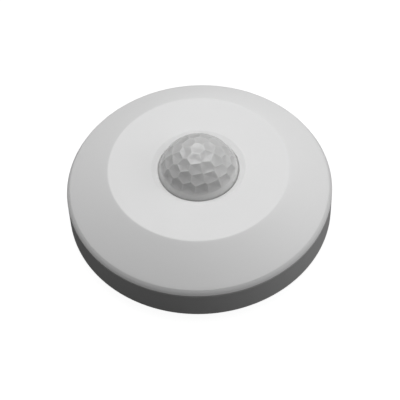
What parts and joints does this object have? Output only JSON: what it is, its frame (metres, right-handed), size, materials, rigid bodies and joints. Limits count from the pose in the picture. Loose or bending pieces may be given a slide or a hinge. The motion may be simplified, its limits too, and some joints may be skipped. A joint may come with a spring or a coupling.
{
  "type": "ceiling motion sensor",
  "caption": "Round ceiling-mount passive infrared motion detector: white cover with a faceted dome lens on a darker base that twist-locks to a ceiling plate, board and terminals inside.",
  "frame": {"origin": "on the axis of the round body, in the plane where the mounting plate meets the ceiling", "axes": "+Z away from the ceiling, out through the lens; X through the two slotted screw holes; Y through the two round screw holes, with the terminal block on the -Y side"},
  "size_m": [0.11, 0.11, 0.0385],
  "materials": {
    "cover_white": "moulded white plastic, fine matt texture",
    "base_grey": "moulded mid-grey plastic, fine matt texture",
    "lens_milk": "milky translucent polyethylene, soft sheen",
    "plate_white": "moulded white plastic",
    "grommet_rubber": "soft black rubber",
    "board_green": "solder mask over copper, satin gloss",
    "screw_zinc": "zinc-plated steel",
    "can_nickel": "nickel-plated steel",
    "window_filter": "dark infrared filter",
    "pins_gold": "gold-plated pins",
    "spacer_black": "black plastic",
    "shroud_white": "moulded white plastic",
    "led_red": "tinted clear resin",
    "leads_tin": "tinned leads",
    "terminal_green": "green moulded polyamide",
    "clamp_nickel": "nickel-plated brass",
    "switch_black": "black moulded plastic",
    "button_red": "red plastic",
    "spring_steel": "stainless spring strip",
    "trimmer_blue": "blue moulded plastic",
    "dip_red": "red moulded plastic",
    "relay_black": "black moulded case",
    "capacitor_alu": "bright aluminium can",
    "package_black": "black epoxy",
    "chip_tan": "ceramic chip"
  },
  "bodies": {
    "mounting_plate": {"mounting_plate": "plate_white"},
    "base": {"base_housing": "base_grey", "cable_grommet": "grommet_rubber", "main_pcb": "board_green", "pcb_screws": "screw_zinc", "sensor_can": "can_nickel", "sensor_window": "window_filter", "sensor_header": "can_nickel", "sensor_pins": "pins_gold", "sensor_spacer": "spacer_black", "sensor_shroud": "shroud_white", "status_led": "led_red", "led_leads": "leads_tin", "terminal_housing": "terminal_green", "terminal_contacts": "leads_tin", "tamper_switch_body": "switch_black", "tamper_pins": "leads_tin", "trimmer_body": "trimmer_blue", "dip_body": "dip_red", "alarm_relay": "relay_black", "relay_pins": "leads_tin", "capacitor_cans": "capacitor_alu", "capacitor_bases": "package_black", "ic_packages": "package_black", "ic_leads": "leads_tin", "chip_resistors": "package_black", "chip_capacitors": "chip_tan", "rectifier_diode": "package_black"},
    "cover": {"front_cover": "cover_white", "dome_lens": "lens_milk", "lens_retainer": "shroud_white", "retainer_screws": "screw_zinc"},
    "dip_slider_1": {"dip_slider_1": "shroud_white"},
    "dip_slider_2": {"dip_slider_2": "shroud_white"},
    "dip_slider_3": {"dip_slider_3": "shroud_white"},
    "tamper_button": {"tamper_button": "button_red"},
    "tamper_lever": {"tamper_lever": "spring_steel"},
    "terminal_clamp_1": {"terminal_clamp_1": "clamp_nickel"},
    "terminal_clamp_2": {"terminal_clamp_2": "clamp_nickel"},
    "terminal_clamp_3": {"terminal_clamp_3": "clamp_nickel"},
    "terminal_clamp_4": {"terminal_clamp_4": "clamp_nickel"},
    "terminal_clamp_5": {"terminal_clamp_5": "clamp_nickel"},
    "terminal_clamp_6": {"terminal_clamp_6": "clamp_nickel"},
    "terminal_screw_1": {"terminal_screw_1": "screw_zinc"},
    "terminal_screw_2": {"terminal_screw_2": "screw_zinc"},
    "terminal_screw_3": {"terminal_screw_3": "screw_zinc"},
    "terminal_screw_4": {"terminal_screw_4": "screw_zinc"},
    "terminal_screw_5": {"terminal_screw_5": "screw_zinc"},
    "terminal_screw_6": {"terminal_screw_6": "screw_zinc"},
    "trimmer_rotor": {"trimmer_rotor": "shroud_white"}
  },
  "joints": [
    {"name": "base_twist", "type": "hinge", "parent": "mounting_plate", "child": "base", "pos_m": [0, 0, 0.005], "axis": [0, 0, 1], "range_deg": [0, 16]},
    {"name": "cover_lift", "type": "slide", "parent": "base", "child": "cover", "axis": [0, 0, 1], "range_m": [0, 0.045]},
    {"name": "tamper_lever_swing", "type": "hinge", "parent": "base", "child": "tamper_lever", "pos_m": [-0.0219, 0.027, 0.0212], "axis": [0, -1, 0], "range_deg": [0, 12]},
    {"name": "tamper_button_travel", "type": "slide", "parent": "base", "child": "tamper_button", "axis": [0, 0, 1], "range_m": [0, 0.0007]},
    {"name": "sensitivity_turn", "type": "hinge", "parent": "base", "child": "trimmer_rotor", "pos_m": [0.017, 0.0275, 0.018], "axis": [0, 0, 1], "range_deg": [-130, 130]},
    {"name": "option_slide_1", "type": "slide", "parent": "base", "child": "dip_slider_1", "axis": [-1, 0, 0], "range_m": [0, 0.0019]},
    {"name": "option_slide_2", "type": "slide", "parent": "base", "child": "dip_slider_2", "axis": [-1, 0, 0], "range_m": [0, 0.0019]},
    {"name": "option_slide_3", "type": "slide", "parent": "base", "child": "dip_slider_3", "axis": [-1, 0, 0], "range_m": [0, 0.0019]},
    {"name": "terminal_turn_1", "type": "hinge", "parent": "base", "child": "terminal_screw_1", "pos_m": [-0.00953, -0.029, 0.021], "axis": [0, 0, -1], "range_deg": [0, 1080]},
    {"name": "terminal_clamp_rise_1", "type": "slide", "parent": "base", "child": "terminal_clamp_1", "axis": [0, 0, 1], "range_m": [0, 0.0015]},
    {"name": "terminal_turn_2", "type": "hinge", "parent": "base", "child": "terminal_screw_2", "pos_m": [-0.00571, -0.029, 0.021], "axis": [0, 0, -1], "range_deg": [0, 1080]},
    {"name": "terminal_clamp_rise_2", "type": "slide", "parent": "base", "child": "terminal_clamp_2", "axis": [0, 0, 1], "range_m": [0, 0.0015]},
    {"name": "terminal_turn_3", "type": "hinge", "parent": "base", "child": "terminal_screw_3", "pos_m": [-0.00191, -0.029, 0.021], "axis": [0, 0, -1], "range_deg": [0, 1080]},
    {"name": "terminal_clamp_rise_3", "type": "slide", "parent": "base", "child": "terminal_clamp_3", "axis": [0, 0, 1], "range_m": [0, 0.0015]},
    {"name": "terminal_turn_4", "type": "hinge", "parent": "base", "child": "terminal_screw_4", "pos_m": [0.00191, -0.029, 0.021], "axis": [0, 0, -1], "range_deg": [0, 1080]},
    {"name": "terminal_clamp_rise_4", "type": "slide", "parent": "base", "child": "terminal_clamp_4", "axis": [0, 0, 1], "range_m": [0, 0.0015]},
    {"name": "terminal_turn_5", "type": "hinge", "parent": "base", "child": "terminal_screw_5", "pos_m": [0.00571, -0.029, 0.021], "axis": [0, 0, -1], "range_deg": [0, 1080]},
    {"name": "terminal_clamp_rise_5", "type": "slide", "parent": "base", "child": "terminal_clamp_5", "axis": [0, 0, 1], "range_m": [0, 0.0015]},
    {"name": "terminal_turn_6", "type": "hinge", "parent": "base", "child": "terminal_screw_6", "pos_m": [0.00953, -0.029, 0.021], "axis": [0, 0, -1], "range_deg": [0, 1080]},
    {"name": "terminal_clamp_rise_6", "type": "slide", "parent": "base", "child": "terminal_clamp_6", "axis": [0, 0, 1], "range_m": [0, 0.0015]}
  ],
  "couplings": [
    {"joint": "tamper_lever_swing", "follows": "cover_lift", "rad_per_m": 4.65},
    {"joint": "tamper_button_travel", "follows": "cover_lift", "ratio": 0.0155},
    {"joint": "terminal_turn_1", "follows": "terminal_clamp_rise_1", "rad_per_m": 12560},
    {"joint": "terminal_turn_2", "follows": "terminal_clamp_rise_2", "rad_per_m": 12560},
    {"joint": "terminal_turn_3", "follows": "terminal_clamp_rise_3", "rad_per_m": 12560},
    {"joint": "terminal_turn_4", "follows": "terminal_clamp_rise_4", "rad_per_m": 12560},
    {"joint": "terminal_turn_5", "follows": "terminal_clamp_rise_5", "rad_per_m": 12560},
    {"joint": "terminal_turn_6", "follows": "terminal_clamp_rise_6", "rad_per_m": 12560}
  ]
}
